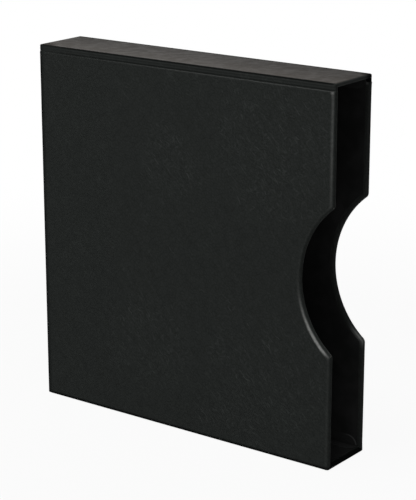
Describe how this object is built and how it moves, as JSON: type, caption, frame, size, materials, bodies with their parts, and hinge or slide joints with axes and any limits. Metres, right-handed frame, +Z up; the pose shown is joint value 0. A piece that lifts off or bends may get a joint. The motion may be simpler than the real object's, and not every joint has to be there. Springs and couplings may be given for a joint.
{
  "type": "album slipcase",
  "caption": "Upright open-fronted slipcase for an album, with board walls, a leather-grained cover, a dark lining and a round thumb notch in the mouth edge of both sides.",
  "frame": {"origin": "middle of the underside, on the surface that the case stands on", "axes": "+Z up, +X from the spine to the open mouth, -Y towards the side that the picture shows"},
  "size_m": [0.304, 0.054, 0.32],
  "materials": {
    "greyboard": "bare pressed grey board",
    "wrap": "black leather-grained cover, semi-matt",
    "strip": "black leather-grained cover, semi-matt",
    "filler_card": "thin card",
    "base_sheet": "black embossed covering paper",
    "lining": "matt black lining paper",
    "corner_tape": "black bookbinder's cloth tape"
  },
  "bodies": {
    "root": {"near_board": "greyboard", "far_board": "greyboard", "spine_board": "greyboard", "top_board": "greyboard", "bottom_board": "greyboard", "side_wrap": "wrap", "top_strip": "strip", "bottom_mouth_strip": "strip", "bottom_filler": "filler_card", "bottom_sheet": "base_sheet", "near_lining": "lining", "far_lining": "lining", "spine_lining": "lining", "top_lining": "lining", "bottom_lining": "lining", "near_bottom_tape": "corner_tape", "far_bottom_tape": "corner_tape", "near_top_tape": "corner_tape", "far_top_tape": "corner_tape", "near_spine_tape": "corner_tape", "far_spine_tape": "corner_tape", "top_spine_tape": "corner_tape", "bottom_spine_tape": "corner_tape"}
  },
  "joints": []
}
